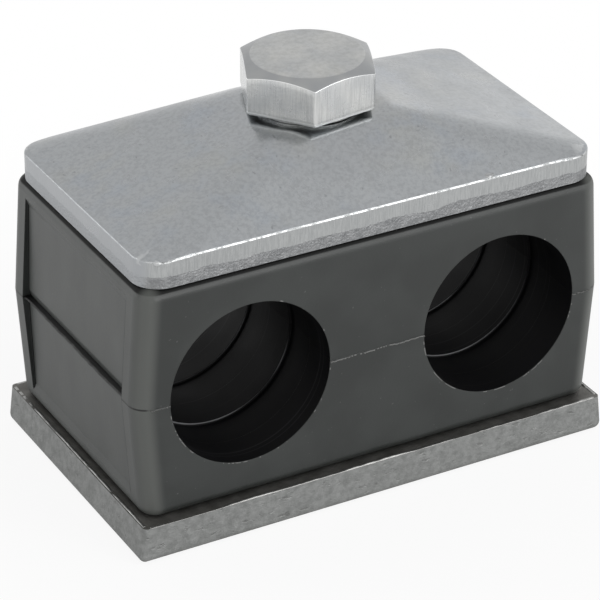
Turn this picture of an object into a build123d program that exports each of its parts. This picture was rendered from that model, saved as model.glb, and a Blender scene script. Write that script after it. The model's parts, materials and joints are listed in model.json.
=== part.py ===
from build123d import *
import math
import os

# Twin tube clamp: two plastic halves hold two parallel tubes, and one bolt through a
# pressed cover plate pulls them down on a weld plate.
# Frame: origin at the centre of the weld plate's underside, X along the clamp, Y along
# the tubes and Z up the bolt. All sizes are in millimetres.

# --- Driving dimensions -------------------------------------------------------------

# Tubes
tube_d = 18.0              # outer diameter of the tubes that the clamp is bored for
tube_pitch = 29.0          # from one tube's axis to the other's
land_count = 4             # ribs that grip each tube
groove_depth = 0.3         # grooves between the ribs

# Moulded halves: both are the same moulding, one of them turned over
half_w = 30.0              # along the tubes
end_wall = 3.7             # beyond each tube seat, at the parting face
crown_wall = 4.0           # between a tube seat and the outer face
end_draft = 0.9            # each end leans in by this much towards the outer face
corner_r = 2.0             # upright corners
outer_edge_r = 1.2         # edge round the outer face
border_w = 3.4             # raised border down each side of an end face
panel_step_inner = 0.7     # how far the panel lies behind the borders at the parting face
panel_step_outer = 0.25    # and at its outer edge
panel_margin = 1.6         # from the panel's outer edge to the outer face
panel_run_out = 0.8        # height over which the panel rises to the end face again
parting_relief = 0.25      # the panel falls back by this much at the parting face
parting_relief_h = 0.9     # over this height

# Weld plate, cut from flat bar
plate_t = 4.2
plate_reach_l = 0.4        # beyond the halves at each end, where they are longest
plate_reach_w = 1.0        # beyond the halves at each side
plate_lean = 0.5           # each sheared end leans in by this much towards the top
plate_roll_r = 0.9         # rolled lower edge that the shear leaves at each end
plate_corner_r = 0.5

# Threaded collar, pressed into the weld plate
collar_wall = 2.0
collar_stand = 6.5         # height above the plate
collar_shoulder = 0.5      # step from the collar to its spigot in the plate
collar_chamfer = 0.7

# Cover plate, pressed from sheet into a low hip
cover_t = 3.0
cover_inset_l = 0.3        # inside the halves' outer face at each end
cover_inset_w = 0.2        # and at each side
cover_corner_r = 3.0
cover_rise = 5.4           # from the rim's underside to the pad's underside
cover_seat = 1.2           # flat band of the rim that rests on the moulding
cover_edge_r = 0.3
pad_margin_l = 1.2         # flat pad beyond the bolt's washer face, lengthwise
pad_margin_w = 0.45        # and across
ridge_r = 8.0              # outer radius of the bends from the corners to the pad
pad_blend_r = 6.0          # outer radius of the bend round the pad

# Hexagon bolt
thread_d = 8.0
thread_pitch = 1.25
bolt_tip_z = 3.6           # its point stays this far above the weld plate's underside
point_chamfer = 0.8
head_af = 13.0
head_h = 5.3               # with its washer face
washer_face_step = 0.7     # from a flat of the head in to the washer face
washer_face_h = 0.4
head_chamfer_angle = 30.0
head_chamfer_step = 0.35   # from a flat of the head in to the chamfer's circle on top
head_foot_r = 0.35         # rounded lower edges of the head
head_turn = 7.0            # how far a corner stands from X when the bolt is tight

# Clearances
thread_gap = 0.05          # radial, between the bolt and the collar
spigot_gap = 0.01          # radial, between the spigot and the weld plate
collar_gap = 0.3           # round and above the collar, inside the moulding
hole_gap = 0.5             # radial, round the bolt in the halves and the cover plate

# --- Sizes, levels and radii worked out from them -----------------------------------

seat_r = tube_d / 2
half_l = tube_pitch + tube_d + 2 * end_wall     # at the parting face
half_h = seat_r + crown_wall
outer_l = half_l - 2 * end_draft                # at the outer face
band_w = half_w / (2 * land_count - 1)          # width of one rib, and of one groove

plate_l = half_l + 2 * plate_reach_l
plate_w = half_w + 2 * plate_reach_w
cover_l = outer_l - 2 * cover_inset_l
cover_w = half_w - 2 * cover_inset_w

parting_z = plate_t + half_h
cover_z = parting_z + half_h                    # top of the upper half
head_z = cover_z + cover_rise + cover_t         # seat of the bolt head
bolt_l = head_z - bolt_tip_z

thread_r = thread_d / 2
hole_r = thread_r + hole_gap
collar_r = thread_r + collar_wall
spigot_r = collar_r - collar_shoulder
head_r = head_af / 2 / math.cos(math.radians(30))
washer_face_r = head_af / 2 - washer_face_step
crown_r = head_af / 2 - head_chamfer_step
pad_l = 2 * (washer_face_r + pad_margin_l)
pad_w = 2 * (washer_face_r + pad_margin_w)


def upright(radius, bottom, top):
    """A cylinder on the bolt's axis between two levels."""
    return Pos(0, 0, bottom) * Cylinder(
        radius, top - bottom, align=(Align.CENTER, Align.CENTER, Align.MIN)
    )


def along_tube(radius, length, y=0.0):
    """Two cylinders on the tubes' axes in the plane Z = 0, centred on y."""
    bar = Rot(90, 0, 0) * Cylinder(radius, length)
    return [Pos(side * tube_pitch / 2, y, 0) * bar for side in (-1, 1)]


def upright_edges(solid):
    """The edges that run up a solid, straight or leaning a little."""
    return solid.edges().filter_by(lambda e: abs((e % 0.5).Z) > 0.9)


def turned(points):
    """A solid of revolution about Z from a closed outline of (radius, height) points."""
    outline = Plane.XZ * Polyline(*points, close=True)
    return revolve(make_face(outline), Axis.Z)


# --- Moulded halves -----------------------------------------------------------------

def end_panel_cutter():
    """What the mould leaves out of the +X end face, between its two borders.

    The outline runs up the panel from its relief at the parting face, then out through
    the end face.
    """
    lean = end_draft / half_h
    top = half_h - panel_margin
    x_inner = half_l / 2 - panel_step_inner
    x_outer = half_l / 2 - lean * top - panel_step_outer
    x_out = half_l / 2 + parting_relief
    outline = Plane.XZ * Polyline(
        (x_inner - parting_relief, 0),
        (x_inner, parting_relief_h),
        (x_outer, top - panel_run_out),
        (half_l / 2 - lean * top, top),
        (x_out, top),
        (x_out, 0),
        close=True,
    )
    return extrude(make_face(outline), (half_w - 2 * border_w) / 2, both=True)


def clamp_half():
    """One half, with its parting face on Z = 0 and its outer face up."""
    side = Plane.XZ * Polyline(
        (-half_l / 2, 0), (half_l / 2, 0), (outer_l / 2, half_h), (-outer_l / 2, half_h), close=True
    )
    half = extrude(make_face(side), half_w / 2, both=True)
    half = fillet(upright_edges(half), corner_r)
    half = fillet(half.edges().group_by(Axis.Z)[-1], outer_edge_r)

    cutter = end_panel_cutter()
    half = half - cutter - mirror(cutter, Plane.YZ)

    half -= along_tube(seat_r, half_w * 1.1)
    for groove in range(land_count - 1):
        y = band_w * (2 * groove + 1.5) - half_w / 2
        half -= along_tube(seat_r + groove_depth, band_w, y)

    half -= upright(hole_r, 0, half_h)
    collar_pocket = collar_stand + collar_gap
    half -= upright(collar_r + collar_gap, half_h - collar_pocket, half_h)
    return half


# --- Steel pieces -------------------------------------------------------------------

def weld_plate():
    """Flat bar sheared to length, with a hole for the collar's spigot."""
    top_l = plate_l - 2 * plate_lean
    side = Plane.XZ * Polyline(
        (-plate_l / 2, 0), (plate_l / 2, 0), (top_l / 2, plate_t), (-top_l / 2, plate_t), close=True
    )
    plate = extrude(make_face(side), plate_w / 2, both=True)
    plate = fillet(upright_edges(plate), plate_corner_r)
    plate = fillet(plate.edges().filter_by(Axis.Y).group_by(Axis.Z)[0], plate_roll_r)
    return plate - upright(spigot_r + spigot_gap, 0, plate_t)


def threaded_collar():
    """A turned collar: spigot through the plate, shoulder on top of it."""
    bore_r = thread_r + thread_gap
    mouth_r = bore_r + collar_chamfer
    top = plate_t + collar_stand
    return turned([
        (mouth_r, 0),
        (spigot_r, 0),
        (spigot_r, plate_t),
        (collar_r, plate_t),
        (collar_r, top - collar_chamfer),
        (collar_r - collar_chamfer, top),
        (mouth_r, top),
        (bore_r, top - collar_chamfer),
        (bore_r, collar_chamfer),
    ])


def hipped_block(length, width, skirt, inset):
    """Four slopes that rise from a rectangle to the pad, on a skirt below Z = 0.

    Two trapezoid bars cross at right angles, and what they share is the hip. Its bends
    are tighter by `inset`, the depth of the surface under the sheet's outer one.
    """
    bars = []
    for plane, foot, crest, reach in (
        (Plane.XZ, length, pad_l, width),
        (Plane.YZ, width, pad_w, length),
    ):
        outline = plane * Polyline(
            (-foot / 2, -skirt),
            (foot / 2, -skirt),
            (foot / 2, 0),
            (crest / 2, cover_rise),
            (-crest / 2, cover_rise),
            (-foot / 2, 0),
            close=True,
        )
        bars.append(extrude(make_face(outline), reach, both=True))
    block = bars[0] & bars[1]
    ridges = block.edges().filter_by(lambda e: 0.05 < abs((e % 0.5).Z) < 0.95)
    block = fillet(ridges, ridge_r - inset)
    return fillet(block.edges().group_by(Axis.Z)[-1], pad_blend_r - inset)


def cover_plate():
    """Sheet pressed into a low hip, with its rim's underside on Z = 0."""
    outer = Pos(0, 0, cover_t) * hipped_block(cover_l, cover_w, cover_t, 0)
    outline = RectangleRounded(cover_l, cover_w, cover_corner_r)
    plate = outer & extrude(outline, cover_t + cover_rise)
    skirt_top = plate.edges().filter_by(
        lambda e: abs(e.center().Z - cover_t) < cover_corner_r / 3 and abs((e % 0.5).Z) < 0.6
    )
    plate = fillet(skirt_top, cover_edge_r)

    hollow = hipped_block(cover_l - 2 * cover_seat, cover_w - 2 * cover_seat, cover_t, cover_t)
    return plate - hollow - upright(hole_r, 0, cover_rise + cover_t)


def hex_bolt():
    """Bolt with the seat of its head on Z = 0 and its shank pointing down."""
    prism = extrude(RegularPolygon(head_r, 6), head_h - washer_face_h)
    prism = fillet(prism.edges().group_by(Axis.Z)[0], head_foot_r)
    prism = Rot(0, 0, head_turn) * Pos(0, 0, washer_face_h) * prism
    slope = math.tan(math.radians(head_chamfer_angle))
    rim_r = head_r * 1.05
    envelope = turned([
        (0, 0),
        (rim_r, 0),
        (rim_r, head_h - (rim_r - crown_r) * slope),
        (crown_r, head_h),
        (0, head_h),
    ])
    washer_face = upright(washer_face_r, 0, washer_face_h + head_foot_r)
    shank = turned([
        (0, 0),
        (thread_r, 0),
        (thread_r, point_chamfer - bolt_l),
        (thread_r - point_chamfer, -bolt_l),
        (0, -bolt_l),
    ])
    return (prism & envelope) + washer_face + shank


# --- Assembly -----------------------------------------------------------------------

nodes = {
    "weld_plate": weld_plate(),
    "threaded_collar": threaded_collar(),
    "lower_clamp_half": Pos(0, 0, parting_z) * Rot(180, 0, 0) * clamp_half(),
    "upper_clamp_half": Pos(0, 0, parting_z) * clamp_half(),
    "cover_plate": Pos(0, 0, cover_z) * cover_plate(),
    "hex_bolt": Pos(0, 0, head_z) * hex_bolt(),
}

os.makedirs("parts", exist_ok=True)
for name, shape in nodes.items():
    export_step(shape, f"parts/{name}.step")

engaged = bolt_l - (head_z - plate_t - collar_stand)
print(f"overall height {head_z + head_h:.2f} mm")
print(f"thread engaged {engaged:.2f} mm, {engaged / thread_pitch:.2f} turns")
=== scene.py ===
# %% [markdown]
# # Twin tube clamp: the looks
# The clamp was built as solids in a CAD program, and those solids are the frame of this
# scene: they are loaded first and never moved. What this file adds is what the eye
# needs: a camera, soft light, the finish of each material, the bolt with its real
# thread, and the burrs and flash that shearing and moulding leave behind.
# All sizes are in metres. X runs along the clamp, Y along the tubes and Z up the bolt.

# %% Load the frame
import json
import math

import bpy
import numpy as np
from mathutils import Matrix, Vector


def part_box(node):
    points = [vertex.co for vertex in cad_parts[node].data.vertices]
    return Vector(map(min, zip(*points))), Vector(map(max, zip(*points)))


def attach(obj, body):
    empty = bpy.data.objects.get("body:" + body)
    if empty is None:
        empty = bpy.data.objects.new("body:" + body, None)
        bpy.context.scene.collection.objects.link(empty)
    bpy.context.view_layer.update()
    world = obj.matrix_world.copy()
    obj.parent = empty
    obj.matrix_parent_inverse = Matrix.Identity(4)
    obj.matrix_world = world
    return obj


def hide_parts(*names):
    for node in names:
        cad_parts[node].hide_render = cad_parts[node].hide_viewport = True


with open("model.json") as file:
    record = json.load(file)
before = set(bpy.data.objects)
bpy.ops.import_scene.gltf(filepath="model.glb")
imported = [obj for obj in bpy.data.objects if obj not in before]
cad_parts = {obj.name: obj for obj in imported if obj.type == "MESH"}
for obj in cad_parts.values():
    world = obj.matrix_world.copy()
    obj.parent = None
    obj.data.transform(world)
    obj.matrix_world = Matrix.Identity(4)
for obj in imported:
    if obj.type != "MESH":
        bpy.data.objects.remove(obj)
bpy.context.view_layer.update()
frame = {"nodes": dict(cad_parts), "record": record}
MM = 0.001

# %% [markdown]
# ## Places read from the solids
# Every added piece takes its place from the boxes of the solids and from the tube seats
# in the record, so that nothing drifts if the clamp is made in another size.

# %% Levels of the stack
plate_low, plate_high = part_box("weld_plate")
lower_low, lower_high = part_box("lower_clamp_half")
upper_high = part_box("upper_clamp_half")[1]
cover_low, cover_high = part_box("cover_plate")
bolt_low, bolt_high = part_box("hex_bolt")

half_w, half_l = -lower_low.y, lower_high.x

seat = next(m for m in frame["record"]["mounts"] if m["name"] == "tube_seat_right")
seat_x, _, parting_z = seat["pos_m"]
seat_r = seat["dims"]["r_mm"] * MM
print("parting line at", round(parting_z / MM, 2), "mm")
print("tube seats at x = +-", round(seat_x / MM, 2), "mm")

# %% [markdown]
# ## Camera
# A long lens from well back keeps the upright edges almost parallel, as in a catalogue
# picture. The camera stands to the left of the clamp and looks down on it by a third of
# a right angle. Its axes are worked out from the two angles and put into one matrix.

# %% Camera
camera_azimuth = math.radians(29.2)
camera_elevation = math.radians(29.45)
camera_roll = math.radians(0.4)
camera_place = Vector((-141.6, -252.2, 178.6)) * MM

forward = Vector((
    math.sin(camera_azimuth) * math.cos(camera_elevation),
    math.cos(camera_azimuth) * math.cos(camera_elevation),
    -math.sin(camera_elevation),
))
level_right = Vector((math.cos(camera_azimuth), -math.sin(camera_azimuth), 0))
level_up = level_right.cross(forward)
right = level_right * math.cos(camera_roll) + level_up * math.sin(camera_roll)
up = right.cross(forward)

lens = bpy.data.cameras.new("long_lens")
lens.sensor_width = 36
lens.lens = 189.6
lens.clip_start, lens.clip_end = 0.01, 20
camera = bpy.data.objects.new("camera", lens)
axes = Matrix((right, up, -forward)).transposed()
camera.matrix_world = Matrix.Translation(camera_place) @ axes.to_4x4()
bpy.context.scene.collection.objects.link(camera)
bpy.context.scene.camera = camera
bpy.context.scene.view_settings.view_transform = "Standard"
print("camera", round(camera_place.length / MM), "mm from the origin")

# %% [markdown]
# ## Building materials from nodes
# A material is a small graph. These helpers add one node each and wire it up, so a
# finish further down reads as a list of what is mixed with what. A value that is a
# socket is linked, and anything else is written on the socket itself. Most finishes are
# built from masks: a mask is 1 where something shows and 0 elsewhere, so that masks can
# be multiplied (where both hold) or compared for the larger (where either holds).

# %% Nodes and sums
def add_node(tree, kind, inputs=None, **settings):
    """One node of this kind. `inputs` maps a socket's name or number to a value, or to a
    socket that feeds it."""
    made = tree.nodes.new(kind)
    for key, value in settings.items():
        setattr(made, key, value)
    for key, value in (inputs or {}).items():
        if isinstance(value, bpy.types.NodeSocket):
            tree.links.new(value, made.inputs[key])
        else:
            made.inputs[key].default_value = value
    return made


def calc(tree, operation, *values):
    """A Math node's result."""
    sockets = dict(enumerate(values))
    return add_node(tree, "ShaderNodeMath", sockets, operation=operation).outputs[0]


def product(tree, first, *others):
    """The values multiplied together: a mask that is 1 only where all of them are."""
    for other in others:
        first = calc(tree, "MULTIPLY", first, other)
    return first


def strongest(tree, first, *others):
    """The largest of the values: a mask that is 1 where any of them is."""
    for other in others:
        first = calc(tree, "MAXIMUM", first, other)
    return first


def split(tree, vector):
    """The x, y and z of a vector, as three sockets."""
    return add_node(tree, "ShaderNodeSeparateXYZ", {0: vector}).outputs


print("helpers for sums ready")

# %% [markdown]
# ## Masks and colours
# A Map Range node turns any measure, such as a height, into a mask with a soft border,
# and a Mix node lays one colour over another where the mask is 1.

# %% Masks and colours
def remap(tree, value, low, high, to_low=0.0, to_high=1.0, kind="SMOOTHSTEP"):
    """value taken from low..high to to_low..to_high, and held at the ends."""
    sockets = {"Value": value, "From Min": low, "From Max": high}
    sockets |= {"To Min": to_low, "To Max": to_high}
    return add_node(tree, "ShaderNodeMapRange", sockets, interpolation_type=kind).outputs["Result"]


def between(tree, value, low, high, soft):
    """1 where value lies between low and high, fading to 0 over soft outside."""
    rise = remap(tree, value, low - soft, low)
    fall = remap(tree, value, high, high + soft, 1.0, 0.0)
    return product(tree, rise, fall)


def tint(tree, factor, first, second, blend="MIX"):
    """The first colour blended towards the second by factor."""
    made = add_node(tree, "ShaderNodeMix", data_type="RGBA", blend_type=blend, clamp_factor=True)
    for number, value in ((0, factor), (6, first), (7, second)):
        socket = made.inputs[number]
        if isinstance(value, bpy.types.NodeSocket):
            tree.links.new(value, socket)
        elif isinstance(value, tuple):
            socket.default_value = (*value, 1.0)
        else:
            socket.default_value = value
    return made.outputs[2]


def darker(tree, colour, share):
    """The colour multiplied by share, one number for each of red, green and blue."""
    return tint(tree, 1.0, colour, share, blend="MULTIPLY")


print("helpers for masks and colours ready")

# %% [markdown]
# ## Grain and relief
# Almost every irregular thing on this clamp, from flow marks to scratches, is noise of
# some size, drawn out one way. The same noise can be a colour, a gloss, or a height that
# bends the light. Relief that would change the outline is modelled instead.

# %% Grain and relief
def grain(tree, place, size_mm, detail=2.0, roughness=0.5, stretch=(1, 1, 1)):
    """Noise from 0 to 1 whose spots are about size_mm across, drawn out along an axis where
    stretch is over 1."""
    scale = tuple(1.0 / s for s in stretch)
    drawn_out = add_node(tree, "ShaderNodeMapping", {"Vector": place, "Scale": scale}).outputs[0]
    sockets = {"Vector": drawn_out, "Scale": 1.0 / (size_mm * MM)}
    sockets |= {"Detail": detail, "Roughness": roughness}
    return add_node(tree, "ShaderNodeTexNoise", sockets).outputs["Fac"]


def bump(tree, height, depth_mm, strength=1.0, under=None):
    """A normal that a height map bends, with the height of a full step in mm."""
    sockets = {"Height": height, "Distance": depth_mm * MM, "Strength": strength}
    if under is not None:
        sockets["Normal"] = under
    return add_node(tree, "ShaderNodeBump", sockets).outputs[0]


def worn_edges(tree, radius_mm):
    """A normal that turns smoothly over sharp edges, as if they were rounded by this radius."""
    return add_node(tree, "ShaderNodeBevel", {"Radius": radius_mm * MM}, samples=4).outputs[0]


print("helpers for grain and relief ready")

# %% [markdown]
# ## Starting and ending a finish
# Each material starts as one shader fed by nothing, and ends with one call that feeds
# its sockets. A number that is the same all over is written on the socket itself.

# %% Starting and ending a finish
def new_finish(name):
    """An empty material, as five things: the material, its tree, its Principled shader, the
    place on the piece and the outward normal."""
    material = bpy.data.materials.new(name)
    material.use_nodes = True
    tree = material.node_tree
    tree.nodes.clear()
    shader = tree.nodes.new("ShaderNodeBsdfPrincipled")
    out = tree.nodes.new("ShaderNodeOutputMaterial")
    tree.links.new(shader.outputs[0], out.inputs["Surface"])
    place = tree.nodes.new("ShaderNodeTexCoord").outputs["Object"]
    facing = tree.nodes.new("ShaderNodeNewGeometry").outputs["True Normal"]
    return material, tree, shader, place, facing


def feed(tree, shader, **sockets):
    """Links or writes the shader's sockets; underscores in the names stand for spaces."""
    for key, value in sockets.items():
        socket = shader.inputs[key.replace("_", " ")]
        if isinstance(value, bpy.types.NodeSocket):
            tree.links.new(value, socket)
        elif isinstance(value, tuple) and len(value) == 3:
            socket.default_value = (*value, 1.0)
        else:
            socket.default_value = value


def coat(piece, material):
    """Puts one material on the whole piece."""
    piece.data.materials.clear()
    piece.data.materials.append(material)


print("helpers for finishes ready")

# %% [markdown]
# ## Black moulded plastic: where things are
# The halves are moulded in black polypropylene. Their look changes from place to place:
# darker and duller in the tube seats, where the darker colour is painted shade; paler on
# the two ends and most of all on the rounded corners, which is painted sheen and
# highlight; and dark in the seams, which is painted shade. One material with masks does
# this better than several materials, because the masks fade softly into each other. Each
# mask is worked out from the place on the piece, so the pattern stays with the clamp from
# every side.

# %% Masks on the halves
def distance_from_seat(tree, place):
    """Distance in metres from the nearer tube axis: both seats fold onto one side with |x|."""
    x, _, z = split(tree, place)
    across = calc(tree, "SUBTRACT", calc(tree, "ABSOLUTE", x), seat_x)
    above = calc(tree, "SUBTRACT", z, parting_z)
    squares = calc(tree, "ADD", calc(tree, "POWER", across, 2.0), calc(tree, "POWER", above, 2.0))
    return calc(tree, "SQRT", squares)


groove_depth = 0.45 * MM           # of the grooves between the ribs of a seat
panel_half_w = half_w - 3.4 * MM   # the sunken panel of an end leaves a 3.4 mm border
panel_half_h = 11.2 * MM
end_draft = 0.9 / 13.0             # an end leans in by 0.9 mm over a half's 13 mm

black_plastic, tree, shader, place, facing = new_finish("black_polypropylene")
x, y, z = split(tree, place)
side_x = calc(tree, "ABSOLUTE", x)
side_y = calc(tree, "ABSOLUTE", y)
from_parting = calc(tree, "ABSOLUTE", calc(tree, "SUBTRACT", z, parting_z))
from_axis = distance_from_seat(tree, place)
facing_x, facing_y, _ = split(tree, facing)

groove_floor = seat_r + groove_depth
inside = remap(tree, side_y, half_w - 0.10 * MM, half_w - 0.05 * MM, 1.0, 0.0)
near_axis = remap(tree, from_axis, groove_floor, groove_floor + 0.1 * MM, 1.0, 0.0)
in_bore = product(tree, inside, near_axis)
turned_to_end = remap(tree, calc(tree, "ABSOLUTE", facing_x), 0.75, 0.95)
end_face = product(tree, turned_to_end, remap(tree, in_bore, 0.0, 1.0, 1.0, 0.0))

upright_x = calc(tree, "ADD", side_x, product(tree, from_parting, end_draft))
corner_x = remap(tree, upright_x, half_l - 2.4 * MM, half_l - 1.0 * MM)
corner_y = remap(tree, side_y, half_w - 1.8 * MM, half_w - 0.7 * MM)
corner_painted_highlight = product(tree, corner_x, corner_y)
print("masks for seats, ends and corners")

# %% [markdown]
# ## Painted shade in seams and creases
# Shade falls where surfaces meet: in the crease beside each end's sunken panel, under
# the cover plate and on the weld plate. It is painted into the colour as a band a fraction
# of a millimetre wide, dark and dull.

# %% Painted shade in seams and creases
in_crease = between(tree, side_y, panel_half_w - 0.22 * MM, panel_half_w + 0.02 * MM, 0.05 * MM)
beside_panel = calc(tree, "LESS_THAN", from_parting, panel_half_h)
crease = product(tree, in_crease, beside_panel, end_face)
seam_top = remap(tree, z, upper_high.z - 0.60 * MM, upper_high.z - 0.42 * MM)
seam_low = remap(tree, z, lower_low.z + 0.30 * MM, lower_low.z + 0.45 * MM, 1.0, 0.0)
# painted shade: the mask of the seams and creases whose colour is darkened
painted_shade = strongest(tree, crease, seam_top, seam_low)
print("seams and creases marked")

# %% [markdown]
# ## The plastic's skin
# Molten plastic leaves faint cloudy flow marks as it fills the mould. They are large soft
# noise between two dark greys, with a few pale specks of lint on top. The layers are
# painted in order, each over the one before it.

# %% Colour outside
clouds = grain(tree, place, 7.0, detail=3.0)
flow = grain(tree, place, 3.0, detail=4.0, stretch=(1, 1, 3))
cloudy = remap(tree, clouds, 0.35, 0.65)
skin = tint(tree, cloudy, (0.0165, 0.0190, 0.0178), (0.0238, 0.0270, 0.0256))
# painted sheen: the end faces get a paler skin that stands in for the light they catch
end_painted_sheen = tint(tree, cloudy, (0.0485, 0.0525, 0.050), (0.062, 0.0665, 0.0635))
skin = tint(tree, end_face, skin, end_painted_sheen)
# painted shade: the seams and the crease beside each panel are darkened almost to black
skin = tint(tree, product(tree, painted_shade, 0.9), skin, (0.003, 0.003, 0.003))
lint = remap(tree, grain(tree, place, 0.38, detail=1.0), 0.775, 0.80)
skin = tint(tree, product(tree, lint, 0.25), skin, (0.22, 0.22, 0.22))
# painted highlight: the rounded upright corners are made paler in the colour
skin = tint(tree, corner_painted_highlight, skin, (0.084, 0.0885, 0.083))
print("skin of the outside")

# %% [markdown]
# ## Inside the tube seats
# A turned core shapes the seats and leaves fine rings across the tube's axis. The walls
# of the seats are darker than the outside, which is painted shade, and the edges of the
# ribs carry a thin painted highlight low in the seat. The rings are noise drawn out 300
# times along X and Z, which leaves it free to change only along Y.

# %% Colour in the seats
land_edge = remap(tree, calc(tree, "ABSOLUTE", facing_y), 0.6, 0.8)
low_in_bore = remap(tree, z, parting_z - 1.0 * MM, parting_z - 5.0 * MM)
at_land = between(tree, from_axis, seat_r - 0.05 * MM, seat_r + 0.12 * MM, 0.04 * MM)
faded = remap(tree, grain(tree, place, 8.0, detail=1.0), 0.35, 0.60, 0.2, 1.0)
# painted highlight: a thin pale line on the rib edges, low in the seat
rib_glint = product(tree, low_in_bore, at_land, faded)
rib_edge_highlight = tint(tree, rib_glint, (0.006, 0.006, 0.0065), (0.16, 0.163, 0.168))
rings = remap(tree, grain(tree, place, 0.30, detail=1.0, stretch=(300, 1, 300)), 0.66, 0.72)
# painted shade: the seat walls get a colour far darker than the outside; the rings over it are
# real
wall_shade_and_rings = tint(tree, rings, (0.002, 0.002, 0.0025), (0.016, 0.016, 0.017))
skin = tint(tree, in_bore, skin, tint(tree, land_edge, wall_shade_and_rings, rib_edge_highlight))

at_end = remap(tree, side_x, half_l - 1.5 * MM, half_l - 1.0 * MM)
at_parting = between(tree, z, parting_z - 0.07 * MM, parting_z + 0.07 * MM, 0.05 * MM)
skin = tint(tree, product(tree, at_parting, at_end), skin, (0.002, 0.002, 0.002))
print("seats and the joint at the ends")

# %% [markdown]
# ## Gloss and relief of the plastic
# The outside is satin. The seats and the seams painted with shade reflect less, so their
# roughness goes up and their specular level down. The fine pitted texture is bump, since
# it is far too small to model, and a Bevel node rounds the sharp edges of the solids for
# the light.

# %% Gloss and relief
satin = remap(tree, product(tree, calc(tree, "ADD", clouds, flow), 0.5), 0.35, 0.65, 0.40, 0.46)
dull = strongest(tree, in_bore, painted_shade)
pitted_skin = grain(tree, place, 0.30, detail=2.0)
feed(tree, shader, Base_Color=skin,
     Roughness=calc(tree, "ADD", satin, product(tree, dull, 0.12)),
     Specular_IOR_Level=remap(tree, dull, 0.0, 1.0, 0.5, 0.15),
     Normal=bump(tree, pitted_skin, 0.012, 0.6, under=worn_edges(tree, 0.12)))
for node in ("lower_clamp_half", "upper_clamp_half"):
    coat(frame["nodes"][node], black_plastic)
print("black plastic on both halves")

# %% [markdown]
# ## Pale plastic for flash
# Where the plastic is drawn out thin or torn, it turns pale. The slivers of flash get a
# material of their own, because they are separate meshes.

# %% Pale plastic
pale_plastic, tree, shader, place, _ = new_finish("pale_polypropylene")
streaky = grain(tree, place, 0.5, detail=3.0)
feed(tree, shader, Roughness=0.5,
     Base_Color=tint(tree, streaky, (0.07, 0.072, 0.07), (0.22, 0.222, 0.215)))
print("pale plastic for flash")

# %% [markdown]
# ## Zinc plating
# Cover plate and bolt are plated with zinc: a soft satin metal, slightly blue, with
# clouds of yellow and violet a few millimetres wide where the passivation runs thicker.
# The clouds are three layers of noise at different sizes, each a faint shift of colour.

# %% Zinc clouds
def zinc_clouds(tree, place, base):
    """The base colour with faint warm and cool clouds over it, and a fine dull grain."""
    warm = remap(tree, grain(tree, place, 7.0, detail=5.0), 0.50, 0.72, 0.0, 0.6)
    cool = remap(tree, grain(tree, place, 4.5, detail=5.0, roughness=0.6), 0.50, 0.72, 0.0, 0.7)
    dull = remap(tree, grain(tree, place, 0.45, detail=4.0, roughness=0.7), 0.40, 0.64, 0.0, 1.0)
    colour = tint(tree, warm, base, tuple(c * k for c, k in zip(base, (1.04, 1.02, 0.96))))
    colour = tint(tree, cool, colour, tuple(c * k for c, k in zip(base, (0.94, 0.97, 1.02))))
    return tint(tree, dull, colour, darker(tree, colour, (0.87, 0.87, 0.87)))


print("zinc clouds ready")

# %% [markdown]
# ## The cover plate's cut edges
# The edges show how the sheet was stamped: a burnished band with upright scratches where
# the punch slid by, and below it a duller, rougher band where the rest broke away. The
# line between the two wanders, so the height that divides them has noise added to it.
# On the short sides both bands are faint.

# %% Masks on the cover plate
sheet_t = 3.0 * MM
break_share = 0.42                 # of the sheet's thickness that broke away
wander_reach = 1.2 * MM
zinc_sheet, tree, shader, place, facing = new_finish("zinc_plated_sheet")
x, y, z = split(tree, place)
_, facing_y, facing_z = split(tree, facing)
lean = calc(tree, "ABSOLUTE", facing_z)
on_edge = remap(tree, lean, 0.15, 0.30, 1.0, 0.0)
long_side = remap(tree, calc(tree, "ABSOLUTE", facing_y), 0.45, 0.85)

wavy = calc(tree, "SUBTRACT", grain(tree, place, 3.5, detail=5.0, roughness=0.6), 0.5)
wander = product(tree, wavy, wander_reach)
break_z = cover_low.z + break_share * sheet_t
wandering_z = calc(tree, "ADD", z, wander)
broken = remap(tree, wandering_z, break_z - 0.05 * MM, break_z + 0.05 * MM, 1.0, 0.0)
broken = product(tree, broken, on_edge)
slid = calc(tree, "SUBTRACT", grain(tree, place, 0.13, detail=4.0, stretch=(1, 1, 12)), 0.5)
slid = product(tree, on_edge, remap(tree, long_side, 0.0, 1.0, 0.35, 1.0), slid)
print("cut edges divided at", round(break_z / MM, 2), "mm")

# %% [markdown]
# ## The cover plate's faces
# The faces carry the zinc clouds and a few darker marks: scuffs drawn out along the
# clamp, and small nicks. Only the peaks of the noise count, so the marks are rare.

# %% Colour of the faces
face_colour = zinc_clouds(tree, place, (0.334, 0.346, 0.356))
scuffs = remap(tree, grain(tree, place, 0.6, detail=2.0, stretch=(2.5, 1, 1)), 0.68, 0.74)
nicks = remap(tree, grain(tree, place, 0.5, detail=1.0, stretch=(1, 2, 1)), 0.74, 0.78)
marks = strongest(tree, product(tree, scuffs, 0.30), product(tree, nicks, 0.55))
face_colour = tint(tree, marks, face_colour, (0.19, 0.195, 0.20))
print("faces of the cover plate")

# %% [markdown]
# ## Colour of the two bands
# The burnished band has pale and dark upright streaks, and the broken band is darker and
# patchy. They use the masks from above, so the colours meet on the wandering line.

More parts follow.
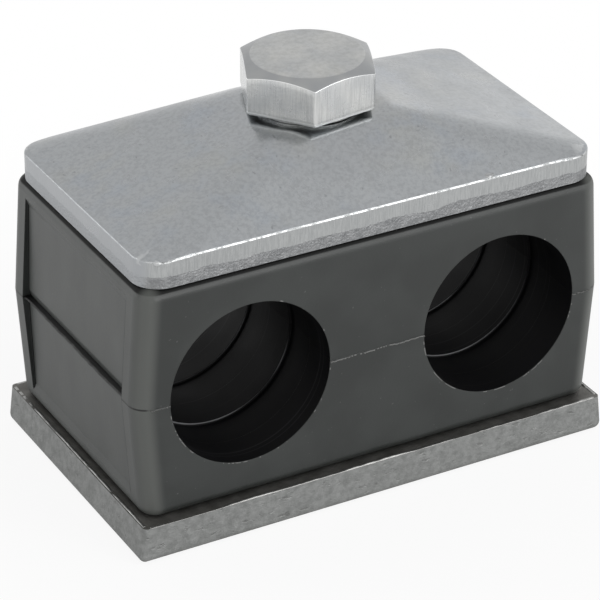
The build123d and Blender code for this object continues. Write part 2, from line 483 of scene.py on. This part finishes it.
# %% Colour of the cut edges
streaks = remap(tree, slid, -0.15, 0.15)
burnished = tint(tree, streaks, (0.36, 0.37, 0.372), (0.43, 0.44, 0.44))
burnished = tint(tree, long_side, (0.36, 0.372, 0.385), burnished)
patches = remap(tree, grain(tree, place, 0.8, detail=5.0, roughness=0.7), 0.35, 0.65)
rough_break = tint(tree, patches, (0.22, 0.225, 0.23), (0.30, 0.305, 0.31))
break_shows = product(tree, broken, remap(tree, long_side, 0.0, 1.0, 0.10, 1.0))
edge_colour = tint(tree, break_shows, burnished, rough_break)
colour = tint(tree, on_edge, face_colour, edge_colour)
print("cut edges of the cover plate")

# %% [markdown]
# ## Lip and knocked corners
# The punch rolls the sheet's upper edge over into a lip, which is chipped here and there.
# Its brightness is partly burnished zinc and partly painted highlight, strongest on the
# long sides. The four corners carry small nicks from handling. Both are narrow bands near
# the edge, broken up by noise, and the nicks are also pressed in a little as bump.

# %% Lip and corners of the cover plate
lip_z = cover_low.z + sheet_t
on_lip = between(tree, lean, 0.30, 0.62, 0.12)
on_lip = product(tree, on_lip, remap(tree, long_side, 0.0, 1.0, 0.15, 1.0))
lip_chips = remap(tree, grain(tree, place, 0.9, detail=4.0, roughness=0.7), 0.42, 0.56)
# painted highlight: the rolled lip is lightened in the colour, between chips
lip_highlight_colour = tint(tree, lip_chips, (0.20, 0.205, 0.205), (0.62, 0.63, 0.63))
colour = tint(tree, on_lip, colour, lip_highlight_colour)

knock_from, knock_full = 3.2 * MM, 1.4 * MM  # in from the sheet's outline
side_x, side_y = calc(tree, "ABSOLUTE", x), calc(tree, "ABSOLUTE", y)
near_end = remap(tree, side_x, cover_high.x - knock_from, cover_high.x - knock_full)
near_side = remap(tree, side_y, cover_high.y - knock_from, cover_high.y - knock_full)
at_lip = between(tree, z, lip_z - 0.5 * MM, lip_z + 0.3 * MM, 0.3 * MM)
knock = remap(tree, grain(tree, place, 1.1, detail=1.0), 0.52, 0.62)
knocked = product(tree, near_end, near_side, at_lip, knock)
colour = tint(tree, product(tree, knocked, 0.5), colour, (0.55, 0.56, 0.56))
print("lip and corners of the cover plate")

# %% [markdown]
# ## Gloss and relief of the cover plate
# The plating is glossier in a ring round the bolt, so the roughness falls towards the
# middle. Four bumps lie on each other: fine pits on the whole sheet,
# scratches on the cut edge, rubble in its broken band, and the nicks.

# %% Gloss and relief of the cover plate
glossy_r, plain_r = 8.5 * MM, 14.0 * MM
rough = remap(tree, grain(tree, place, 3.0, detail=4.0), 0.3, 0.7, 0.27, 0.34)
rough = calc(tree, "ADD", rough, product(tree, broken, 0.15))
level_place = add_node(tree, "ShaderNodeCombineXYZ", {0: x, 1: y}).outputs[0]
from_bolt = add_node(tree, "ShaderNodeVectorMath", {0: level_place}, operation="LENGTH")
gloss = remap(tree, from_bolt.outputs["Value"], glossy_r, plain_r, 0.13, 0.0)
rough = calc(tree, "SUBTRACT", rough, gloss)

pits = bump(tree, grain(tree, place, 0.35, detail=4.0, roughness=0.6), 0.02, 0.7)
scratched = bump(tree, slid, 0.08, 0.8, under=pits)
rubble = calc(tree, "SUBTRACT", grain(tree, place, 0.25, detail=4.0), 0.5)
torn = bump(tree, product(tree, rubble, broken), 0.12, 0.8, under=scratched)
dented = bump(tree, knocked, 0.05, 0.7, under=torn)
feed(tree, shader, Base_Color=colour, Metallic=1.0, Roughness=rough, Normal=dented)
coat(frame["nodes"]["cover_plate"], zinc_sheet)
print("zinc on the cover plate")

# %% [markdown]
# ## Zinc on the bolt
# The head was cold forged and its flats trimmed, which leaves fine upright lines on
# them. The lines are noise drawn out along Z and kept to the upright faces. The chamfer
# is a little darker, and the rim under it and the foot of the head carry painted
# highlights. The masks for these come from how far a face leans and from how high up the
# bolt it is.

# %% Masks and colour on the bolt
zinc_bolt, tree, shader, place, facing = new_finish("zinc_plated_bolt")
lean = calc(tree, "ABSOLUTE", split(tree, facing)[2])
height = split(tree, place)[2]
head_foot = cover_high.z + 0.4 * MM
on_flat = remap(tree, lean, 0.06, 0.20, 1.0, 0.0)
on_chamfer = between(tree, lean, 0.80, 0.95, 0.04)
foot_highlight = between(tree, height, head_foot, head_foot + 0.40 * MM, 0.08 * MM)
above_foot = remap(tree, height, head_foot + 1.0 * MM, head_foot + 1.1 * MM)
rim_highlight = product(tree, between(tree, lean, 0.22, 0.66, 0.08), above_foot)
lines = grain(tree, place, 0.10, detail=4.0, stretch=(1, 1, 30))

colour = zinc_clouds(tree, place, (0.45, 0.453, 0.445))
colour = tint(tree, on_chamfer, colour, (0.33, 0.335, 0.335))
colour = tint(tree, on_flat, colour, (0.65, 0.655, 0.645))
dark_line = product(tree, on_flat, 0.5, remap(tree, lines, 0.42, 0.62))
colour = tint(tree, dark_line, colour, (0.48, 0.485, 0.48))
# painted highlight: the rim under the chamfer and the foot of the head are lightened in the colour
colour = tint(tree, strongest(tree, foot_highlight, rim_highlight), colour, (0.85, 0.855, 0.84))
unshaded = remap(tree, grain(tree, place, 4.0, detail=2.0), 0.35, 0.65)
colour = tint(tree, unshaded, darker(tree, colour, (0.88, 0.89, 0.91)), colour)
print("colour of the bolt")

# %% [markdown]
# ## Gloss and relief of the bolt
# The trimmed flats are glossier than the forged top. The lines on them are pressed in as
# bump, over a fine grain that covers the whole head, and the edges are rounded a little.

# %% Gloss and relief of the bolt
rough = remap(tree, grain(tree, place, 1.5, detail=4.0), 0.3, 0.7, 0.32, 0.42)
rough = calc(tree, "SUBTRACT", rough, product(tree, on_flat, 0.12))
forged = bump(tree, grain(tree, place, 0.30, detail=3.0), 0.012, 0.6, under=worn_edges(tree, 0.08))
trimmed = bump(tree, product(tree, lines, on_flat), 0.04, 0.7, under=forged)
feed(tree, shader, Base_Color=colour, Metallic=1.0, Roughness=rough, Normal=trimmed)
print("zinc for the bolt")

# %% [markdown]
# ## Bare steel
# The weld plate and its collar stay bare, since they are welded: dull dark scale on the
# flats of the bar, and lighter, mottled and pitted metal on the sheared sides. It is not
# fully metallic, because scale is an oxide and not metal.

# %% Bare steel finish
bare_steel, tree, shader, place, facing = new_finish("bare_steel")
lean = calc(tree, "ABSOLUTE", split(tree, facing)[2])
on_side = remap(tree, lean, 0.45, 0.75, 1.0, 0.0)
scale = remap(tree, grain(tree, place, 2.2, detail=6.0, roughness=0.6), 0.35, 0.70)
scale_skin = tint(tree, scale, (0.11, 0.108, 0.10), (0.17, 0.167, 0.158))
mottle = remap(tree, grain(tree, place, 0.9, detail=6.0, roughness=0.7), 0.30, 0.70)
sheared = tint(tree, mottle, (0.21, 0.215, 0.21), (0.30, 0.305, 0.30))
pitted = grain(tree, place, 0.9, detail=3.0, roughness=0.6, stretch=(1.6, 1.6, 0.8))
pitted = remap(tree, pitted, 0.60, 0.70)
sheared = tint(tree, product(tree, pitted, 0.4), sheared, (0.12, 0.12, 0.115))
colour = tint(tree, on_side, scale_skin, sheared)

rough = remap(tree, grain(tree, place, 1.0, detail=5.0), 0.3, 0.7, 0.50, 0.62)
granular = bump(tree, grain(tree, place, 0.20, detail=3.0), 0.02, 0.6)
torn = grain(tree, place, 0.7, detail=5.0, roughness=0.6)
torn = calc(tree, "SUBTRACT", torn, product(tree, pitted, 0.5))
feed(tree, shader, Base_Color=colour, Metallic=0.85, Roughness=rough,
     Normal=bump(tree, product(tree, torn, on_side), 0.12, 0.7, under=granular))
for node in ("weld_plate", "threaded_collar"):
    coat(frame["nodes"][node], bare_steel)
print("bare steel on weld plate and collar")

# %% [markdown]
# ## Surfaces on a grid
# Each new piece is a surface: rows of points, all of the same length, computed as whole
# arrays. This helper joins neighbouring rows with four-sided faces, closes the seam
# where a row runs round in a ring, and fans out to a single point at a closed end.

# %% Mesh from rows of points
def surface(name, rows):
    """A closed mesh through rows[i, j] = (x, y, z).

    Face (i, j) joins rows i and i + 1 between columns j and j + 1, and column 0 follows the
    last one, so each row is a ring. The first and last row are closed by a fan of
    triangles to that row's mean point.
    """
    count, width = rows.shape[:2]
    points = rows.reshape(-1, 3)
    i = np.arange(count - 1)[:, None]
    j = np.arange(width)[None, :]
    k = (j + 1) % width
    corners = [i * width + j, i * width + k, (i + 1) * width + k, (i + 1) * width + j]
    faces = np.stack(corners, axis=-1).reshape(-1, 4).tolist()
    for row, flip in ((0, True), (count - 1, False)):
        hub = np.full(width, len(points))
        points = np.vstack([points, rows[row].mean(axis=0)])
        a = row * width + np.arange(width)
        b = row * width + (np.arange(width) + 1) % width
        faces += np.stack([b, a, hub] if flip else [a, b, hub], axis=-1).tolist()
    mesh = bpy.data.meshes.new(name)
    mesh.from_pydata(points.tolist(), [], faces)
    mesh.validate()
    made = bpy.data.objects.new(name, mesh)
    bpy.context.scene.collection.objects.link(made)
    mesh.shade_smooth()
    print(name, len(mesh.polygons), "faces")
    return made


# %% [markdown]
# ## The bolt, head and thread in one surface
# A bolt is nearly a solid of revolution, so one outline from the middle of the head's
# top to the point describes it, if the radius may also depend on the angle. On the head
# it follows the hexagon, and on the shank the groove of the thread, which moves down by
# one pitch in each turn. The thread shows when the clamp is opened.

# %% Bolt sizes
head_turn = math.radians(7.0)
across_flats = 13.0 * MM
corner_r = across_flats / 2 / math.cos(math.radians(30)) - 0.06 * MM  # just short of sharp
corner_softness = 0.02 * MM
head_h = 5.3 * MM
seat_z = bolt_high.z - head_h      # the washer face, which stands on the cover plate
crown_r = across_flats / 2 - 0.65 * MM
crown_dome = 0.08 * MM
chamfer_angle = math.radians(25)
chamfer_slope = math.tan(chamfer_angle)
rim_round = 0.09 * MM
foot_round = 0.35 * MM
washer_face_r = across_flats / 2 - 0.7 * MM
washer_face_h = 0.4 * MM
thread_r = 4.0 * MM
pitch = 1.25 * MM
thread_depth = 0.613 * pitch       # of a metric external thread
rows_per_turn = 11
crest_share, root_share = 1 / 8, 1 / 4  # flat parts of the thread, in pitches
point_chamfer = 0.8 * MM
shank_l = seat_z - bolt_low.z
around = 192                       # points in each ring
crowding = 0.8                     # 0 spaces them evenly, 1 crowds them at the corners
print("bolt: head seat at", round(seat_z / MM, 2), "mm, shank", round(shank_l / MM, 2), "mm")

# %% [markdown]
# ## Angles round the bolt
# Evenly spaced points would miss the hexagon's corners and blunt them. A sine wave with
# six periods moves the points towards the corners without adding any, which keeps the
# corners crisp, and the same angles then serve for the round shank.

# %% Angles round the bolt
even = np.linspace(0, 2 * math.pi, around, endpoint=False)
angle = even - crowding / 6 * np.sin(6 * even) + head_turn


def hexagon(angle):
    """Distance of the hexagon's outline from the axis: half the width over flats divided by
    the cosine of the angle from the middle of the nearest flat, with the corner cut off
    softly at corner_r. The soft smaller of a and b is -s log(exp(-a / s) + exp(-b / s))."""
    from_flat = (angle - head_turn) % (math.pi / 3) - math.pi / 6
    sharp = across_flats / 2 / np.cos(from_flat)
    soft = corner_softness
    return -soft * np.log(np.exp(-sharp / soft) + np.exp(-corner_r / soft))


def ring_of(radius, height):
    """One row: points at this radius and height, each a number or an array over the angle."""
    radius = np.broadcast_to(radius, angle.shape)
    height = np.broadcast_to(height, angle.shape)
    return np.stack([radius * np.cos(angle), radius * np.sin(angle), height], axis=-1)


print("angles worked out for", around, "points")

# %% [markdown]
# ## Rows of the head
# The rows run from the middle of the top outwards and down: the faintly domed crown, the
# chamfer, the rounded rim, the flats, the rounded foot and the washer face. The chamfer
# is a cone, so its meeting with each flat dips towards the corners, as on a real head.

# %% Bolt head
flat_r = hexagon(angle)
top_z = seat_z + head_h
crown_edge_z = top_z - crown_dome
rim_z = crown_edge_z - (flat_r - crown_r) * chamfer_slope
head_rows = []
for s in (0.05, 0.3, 0.55, 0.75, 0.88, 0.96, 1.0):
    head_rows.append(ring_of(crown_r * s, top_z - crown_dome * s**4))
for s in (0.08, 0.3, 0.55, 0.8):
    reach = (flat_r - rim_round - crown_r) * s
    head_rows.append(ring_of(crown_r + reach, crown_edge_z - reach * chamfer_slope))
for turn in np.linspace(0, math.radians(90) - chamfer_angle, 4):
    inward = rim_round * (1 - np.sin(turn + chamfer_angle))
    down = rim_round * (np.cos(chamfer_angle) - np.cos(turn + chamfer_angle))
    head_rows.append(ring_of(flat_r - inward, rim_z - 0.5 * rim_round * chamfer_slope - down))
foot_z = seat_z + washer_face_h
flat_h = foot_z + foot_round - rim_z + rim_round
for s in (0.15, 0.35, 0.55, 0.75, 0.9):
    head_rows.append(ring_of(flat_r, rim_z - rim_round + flat_h * s))
for turn in np.radians([0, 22.5, 45, 67.5, 90]):
    inward = foot_round * (1 - np.cos(turn))
    head_rows.append(ring_of(flat_r - inward, foot_z + foot_round * (1 - np.sin(turn))))
head_rows += [ring_of(washer_face_r, foot_z), ring_of(washer_face_r, seat_z + 0.05 * MM),
              ring_of(washer_face_r - 0.05 * MM, seat_z), ring_of(thread_r, seat_z)]
print("head has", len(head_rows), "rows")

# %% [markdown]
# ## The thread
# A screw thread could be swept along a helix and cut from the shank, but a cut leaves
# ragged faces. Here the radius is a function of depth and angle, so the groove lies in
# the same clean grid as the head, and the whole bolt stays one closed surface.

# %% Bolt thread
neck_l = 0.5 * MM                  # plain below the head, before the thread starts
run_in = 1.5 * pitch               # over which the groove reaches its full depth
threaded = np.arange(neck_l, shank_l, pitch / rows_per_turn)
depth_below = np.concatenate([[0.02 * MM, 0.3 * MM], threaded, [shank_l]])


def thread_radius(depth, angle):
    """Radius of the shank: the full radius less a groove that slopes between a flat crest and
    a flat root. A point's place along the pitch is its depth plus one pitch for each turn
    of angle, and the groove depends only on how far that is from the nearest crest."""
    along = depth / pitch + angle / (2 * math.pi)
    from_crest = np.abs(along - np.round(along))
    crest_end, root_start = crest_share / 2, (1 - root_share) / 2
    groove = np.clip((from_crest - crest_end) / (root_start - crest_end), 0, 1)
    runs_in = np.clip((depth - neck_l) / run_in, 0, 1)
    point_limit = thread_r - np.clip(depth - (shank_l - point_chamfer), 0, None)
    return np.minimum(thread_r - thread_depth * groove * runs_in, point_limit)


shank_rows = [ring_of(thread_radius(d, angle), seat_z - d) for d in depth_below]
bolt = surface("bolt", np.stack(head_rows + shank_rows)[::-1])
bolt.data.set_sharp_from_angle(angle=math.radians(38))
coat(bolt, zinc_bolt)
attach(bolt, "bolt")
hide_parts("hex_bolt")

# %% [markdown]
# ## Flash and burrs
# Where the two halves of a mould meet, a little plastic squeezes out as a thin ragged
# fin, and drilling and shearing leave burrs along edges. Each is the same kind of
# surface: a small closed profile carried along a path, whose reach is changed by random
# but repeatable numbers. Where the reach falls to nothing the strip sinks into the body
# it grows from, so one strip looks like many slivers.

# %% Ragged strips
def ragged(count, seed, waves):
    """Values from 0 to 1 along a line: random knots joined by straight lines, one set for
    each (knots, weight), and their weighted mean."""
    draw = np.random.default_rng(seed)
    along = np.linspace(0, 1, count)
    parts = []
    for knots, weight in waves:
        parts.append(weight * np.interp(along, np.linspace(0, 1, knots), draw.random(knots)))
    return sum(parts) / sum(weight for _, weight in waves)


def strip_along(name, path, outward, across, reach, thickness):
    """A fin on a path: each point of the path carries a closed profile, which is sunk at its
    root, stands out by reach, and narrows from thickness at its foot to a sharp tip.

    The rows are turned round where the path, the way out and the way across are
    left-handed, so that the faces of every strip point outwards.
    """
    root = 0.06 * MM
    profile_out = np.array([-1.0, 0.0, 0.7, 1.0, 0.7, 0.0, -1.0])
    profile_across = np.array([-0.5, -0.5, -0.35, 0.0, 0.35, 0.5, 0.5])
    reach = np.clip(reach, -0.8 * root, None)
    out = np.where(profile_out < 0, -root, profile_out * reach[:, None])
    side = profile_across * thickness
    rows = path[:, None, :] + outward[:, None, :] * out[..., None]
    rows = rows + across[:, None, :] * side[..., None]
    handedness = (np.diff(path, axis=0) * np.cross(outward, across)[:-1]).sum()
    return surface(name, rows if handedness > 0 else rows[::-1])


def straight(start, end, count):
    """count points from start to end."""
    s = np.linspace(0, 1, count)[:, None]
    return np.array(start) * (1 - s) + np.array(end) * s


def same(direction, count):
    """The same direction for every point of a path."""
    return np.tile(np.array(direction, float), (count, 1))


print("strips ready")

# %% [markdown]
# ## Flash on the ends
# On each end the halves meet across the sunken panel, and a fin of flash fills part of
# its depth. It belongs to the lower half, and stays on it when the clamp is opened.

# %% Flash on the ends
steps = 240                        # points along each fin and sliver
panel_x = half_l - 0.95 * MM       # the panels of the ends are sunk by 0.95 mm
fin_z = parting_z - 0.09 * MM
for end, sign, seed in (("left", -1, 3), ("right", 1, 4)):
    start = (sign * panel_x, -panel_half_w, fin_z)
    path = straight(start, (sign * panel_x, panel_half_w, fin_z), steps)
    reach = (0.62 + 0.26 * ragged(steps, seed, ((9, 1), (38, 0.8), (110, 0.3)))) * MM
    out, across = same((sign, 0, 0), steps), same((0, 0, 1), steps)
    fin = strip_along(f"end_flash_{end}", path, out, across, reach, 0.16 * MM)
    coat(fin, black_plastic)
    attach(fin, "base")
    print("  reaches", round(reach.min() / MM, 2), "to", round(reach.max() / MM, 2), "mm")

# %% [markdown]
# ## Flash on the front and back
# Between the mouths of the seats the parting line shows as a broken, pale, slightly
# wavy thread of plastic. Each stretch is a strip whose reach falls below nothing in
# places, so that only part of it shows.

# %% Flash on the front and back
mouth_in, mouth_out = seat_x - seat_r, seat_x + seat_r
corner_in = half_l - 1.6 * MM      # where the front starts to round into the end
sliver_reach = 0.45 * MM
level = parting_z - 0.05 * MM
spans = {  # name: (from x, to x, how much of the line has flash)
    "web": (-mouth_in, mouth_in, 0.66),
    "left_wall": (-corner_in, -mouth_out, 0.60),
    "right_wall": (mouth_out, corner_in, 0.60),
}
for side, sign, first_seed in (("front", -1, 5), ("back", 1, 15)):
    for seed, (name, (start_x, end_x, amount)) in enumerate(spans.items(), start=first_seed):
        start = (start_x, sign * half_w, level)
        path = straight(start, (end_x, sign * half_w, level), steps)
        path[:, 2] += (ragged(steps, seed + 20, ((12, 1), (50, 0.5))) - 0.9) * 0.18 * MM
        uneven = ragged(steps, seed, ((14, 1), (70, 1), (160, 0.6)))
        reach = np.clip(uneven - 1 + amount, -0.1, 1) * sliver_reach
        out, across = same((0, sign, 0), steps), same((0, 0, 1), steps)
        fin = strip_along(f"{name}_flash_{side}", path, out, across, reach, 0.13 * MM)
        coat(fin, pale_plastic)
        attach(fin, "base")

# %% [markdown]
# ## Burrs at the mouths of the tube seats
# The core that shapes a seat meets the mould's flat wall at a sharp edge, and plastic
# creeps between them. The slivers stand out from the face round each mouth, more of
# them at the bottom, and they stay out of the seat so that a tube still slides in.

# %% Mouth burrs
def mouth_burr(name, seat_centre, sign, start, end, amount, seed, body):
    """A strip round part of one seat's mouth. The path is an arc of the seat's circle from
    angle start to end, in degrees, and the strip leans in towards the tube by a quarter."""
    turn = np.radians(np.linspace(start, end, steps))
    radial = np.stack([np.cos(turn), np.zeros(steps), np.sin(turn)], axis=-1)
    path = np.array([seat_centre, sign * half_w, parting_z]) + radial * (seat_r + 0.06 * MM)
    outward = same((0, sign, 0), steps) - 0.25 * radial
    outward /= np.linalg.norm(outward, axis=1)[:, None]
    fade = np.sin(np.linspace(0, math.pi, steps)) ** 0.3
    uneven = ragged(steps, seed, ((11, 1), (45, 1), (120, 1)))
    reach = np.clip(uneven - 1 + amount, -0.1, 1) * fade * 0.7 * MM
    strip = strip_along(name, path, outward, radial, reach, 0.11 * MM)
    coat(strip, pale_plastic)
    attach(strip, body)


for side, sign in (("front", -1), ("back", 1)):
    for where, centre in (("left", -seat_x), ("right", seat_x)):
        seed = 40 + 4 * (sign > 0) + 2 * (centre > 0)
        place_name = f"{where}_{side}"
        mouth_burr(f"mouth_burr_low_{place_name}", centre, sign, 185, 355, 0.42, seed, "base")
        mouth_burr(f"mouth_burr_high_{place_name}", centre, sign, 8, 172, 0.20, seed + 1, "top")

# %% [markdown]
# ## Burrs on the weld plate
# Shearing and rolling leave a bright, uneven lip along the bar's upper edges. It is the
# same kind of strip, standing up from the plate just inside its edge.

# %% Bright steel
bright_steel, tree, shader, place, _ = new_finish("bright_steel")
bright = grain(tree, place, 0.8, detail=4.0)
feed(tree, shader, Metallic=1.0, Roughness=0.4,
     Base_Color=tint(tree, bright, (0.20, 0.20, 0.195), (0.42, 0.42, 0.41)))
print("bright steel for the burrs")

# %% [markdown]
# ## The four burrs of the plate
# Each burr runs along one upper edge. Its reach is noise less a threshold, so that it
# sinks into the plate for much of the way and shows as separate bright stretches.

# %% Burrs along the plate's edges
top_x = plate_high.x - 0.5 * MM    # the sheared ends lean in by 0.5 mm towards the top
inset, trim = 0.14 * MM, 0.6 * MM
plate_steps = 500
plate_edges = {  # name: (start, end, across)
    "front": ((-top_x, plate_low.y + inset), (top_x, plate_low.y + inset), (0, 1, 0)),
    "back": ((-top_x, plate_high.y - inset), (top_x, plate_high.y - inset), (0, 1, 0)),
    "left": ((-top_x + inset, plate_low.y), (-top_x + inset, plate_high.y), (1, 0, 0)),
    "right": ((top_x - inset, plate_low.y), (top_x - inset, plate_high.y), (1, 0, 0)),
}
for seed, (name, (start, end, across)) in enumerate(plate_edges.items(), start=60):
    along = np.array(end) - np.array(start)
    along = along / np.linalg.norm(along) * trim
    start, end = (*(start + along), plate_high.z), (*(end - along), plate_high.z)
    uneven = ragged(plate_steps, seed, ((14, 1), (60, 0.8), (170, 0.3)))
    strip = strip_along(f"plate_burr_{name}", straight(start, end, plate_steps),
                        same((0, 0, 1), plate_steps), same(across, plate_steps),
                        (uneven - 0.34) * 0.26 * MM, 0.30 * MM)
    coat(strip, bright_steel)
    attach(strip, "base")

# %% [markdown]
# ## A drip on the cover's edge
# Plating gathers in small beads where the sheet hung in the bath. One sits on the front
# edge: a ball on a grid of latitudes (theta) and longitudes (phi), drawn out along X and
# flattened along Z, with three faint lumps round it.

# %% Plating bead
bead_r, bead_x = 0.42 * MM, 13.0 * MM
bead_y, bead_z = cover_low.y + 0.45 * MM, lip_z + 0.12 * MM
theta = np.linspace(0.12, math.pi - 0.12, 14)[:, None]
phi = np.linspace(0, 2 * math.pi, 28, endpoint=False)[None, :]
lumps = 1 + 0.10 * np.sin(3 * phi + 1) * np.sin(theta)
rows = np.stack([
    bead_x + 1.5 * bead_r * lumps * np.sin(theta) * np.cos(phi),
    bead_y + bead_r * lumps * np.sin(theta) * np.sin(phi),
    bead_z + 0.62 * bead_r * np.cos(theta) * np.ones_like(phi),
], axis=-1)
bead = surface("plating_bead", rows[::-1])
coat(bead, zinc_bolt)
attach(bead, "top")

# %% [markdown]
# ## Stage and light
# The clamp stands on a pale floor between large soft lamps, so that the metal shows
# broad gentle gradients. The floor looks white to the camera and in reflections, while
# the light that it throws back on the clamp stays at a plain level. Close to the clamp
# less of that white is mixed in, which keeps the soft shadow. The floor is see-through
# from below, so that the clamp's underside can be looked at.

# %% Floor
floor_size = 3.0
floor_gap = 0.02 * MM
floor_z = plate_low.z - floor_gap
corners = ((-1, -1), (1, -1), (1, 1), (-1, 1))
floor_points = [(sx * floor_size, sy * floor_size, floor_z) for sx, sy in corners]
floor_mesh = bpy.data.meshes.new("floor")
floor_mesh.from_pydata(floor_points, [], [(0, 1, 2, 3)])
floor = bpy.data.objects.new("floor", floor_mesh)
bpy.context.scene.collection.objects.link(floor)
print("floor", 2 * floor_size, "m wide")


# %% [markdown]
# ## The floor's paint
# The floor mixes a plain white diffuse surface, which takes the shadow, with a white
# glow that only the camera and reflections see. A Light Path node tells them apart.

# %% Paint of the floor
def seen_directly(tree):
    """1 for rays from the camera or a reflection, 0 for the light that falls on surfaces."""
    rays = tree.nodes.new("ShaderNodeLightPath").outputs
    kinds = ("Is Camera Ray", "Is Glossy Ray", "Is Transmission Ray")
    return strongest(tree, *(rays[kind] for kind in kinds))


floor_paint = bpy.data.materials.new("white_table")
floor_paint.use_nodes = True
tree = floor_paint.node_tree
tree.nodes.clear()
table = add_node(tree, "ShaderNodeBsdfDiffuse", {"Color": (0.9, 0.9, 0.9, 1)}).outputs[0]
glow = add_node(tree, "ShaderNodeEmission", {"Color": (1, 1, 1, 1), "Strength": 1.0}).outputs[0]
spot = tree.nodes.new("ShaderNodeTexCoord").outputs["Object"]
away = add_node(tree, "ShaderNodeVectorMath", {0: spot}, operation="LENGTH").outputs["Value"]
camera_only = tree.nodes.new("ShaderNodeLightPath").outputs["Is Camera Ray"]
near = remap(tree, camera_only, 0.0, 1.0, 0.36, 0.90, kind="LINEAR")
share = remap(tree, away, 0.03, 0.085, near, 1.0)  # from 30 to 85 mm off the middle
shown = product(tree, seen_directly(tree), share)
mixed = add_node(tree, "ShaderNodeMixShader", {0: shown, 1: table, 2: glow}).outputs[0]
from_below = tree.nodes.new("ShaderNodeNewGeometry").outputs["Backfacing"]
clear = tree.nodes.new("ShaderNodeBsdfTransparent").outputs[0]
one_sided = add_node(tree, "ShaderNodeMixShader", {0: from_below, 1: mixed, 2: clear}).outputs[0]
add_node(tree, "ShaderNodeOutputMaterial", {"Surface": one_sided})
coat(floor, floor_paint)
print("floor painted white, one-sided")

# %% [markdown]
# ## World
# The world is an even white room. Like the floor, it shows white to the camera and in
# reflections, but lights the clamp at 0.6, so that pale surfaces don't wash out.

# %% World
world = bpy.data.worlds.new("studio")
world.use_nodes = True
bpy.context.scene.world = world
tree = world.node_tree
tree.nodes.clear()
soft = add_node(tree, "ShaderNodeBackground", {"Color": (1, 1, 1, 1), "Strength": 0.6}).outputs[0]
white = add_node(tree, "ShaderNodeBackground", {"Color": (1, 1, 1, 1), "Strength": 1.0}).outputs[0]
shares = {0: seen_directly(tree), 1: soft, 2: white}
mixed = add_node(tree, "ShaderNodeMixShader", shares).outputs[0]
add_node(tree, "ShaderNodeOutputWorld", {"Surface": mixed})
print("world ready")

# %% [markdown]
# ## Lamps
# Square lamps far larger than the clamp give soft shadows and long reflections. Each is
# placed on a sphere round the middle of the clamp, by the two angles that it shines
# from, and turned so that it faces the middle.

# %% Lamps
lamps = {  # name: (azimuth and elevation it shines from in degrees, distance, size, power)
    "left_front": (-165, 8, 0.8, 0.5, 0.2),
    "right_front": (-58, 32, 0.8, 0.3, 0.8),
    "upper_front": (-49, 50, 0.8, 0.25, 0.4),
    "low_front": (-75, 4, 0.8, 0.5, 3.0),
    "left_back": (140, 3, 0.8, 0.5, 1.0),
    "right_back": (35, 10, 0.9, 0.5, 0.2),
}
target = Vector((0, 0, 0.02))
for name, (azimuth, elevation, distance, size, power) in lamps.items():
    a, e = math.radians(azimuth), math.radians(elevation)
    toward = Vector((math.cos(a) * math.cos(e), math.sin(a) * math.cos(e), math.sin(e)))
    data = bpy.data.lights.new(name, "AREA")
    data.shape = "SQUARE"
    data.size = size
    data.energy = power
    lamp = bpy.data.objects.new(name, data)
    lamp.location = target + toward * distance
    lamp.rotation_euler = toward.to_track_quat("Z", "Y").to_euler()
    bpy.context.scene.collection.objects.link(lamp)
print(len(lamps), "lamps")
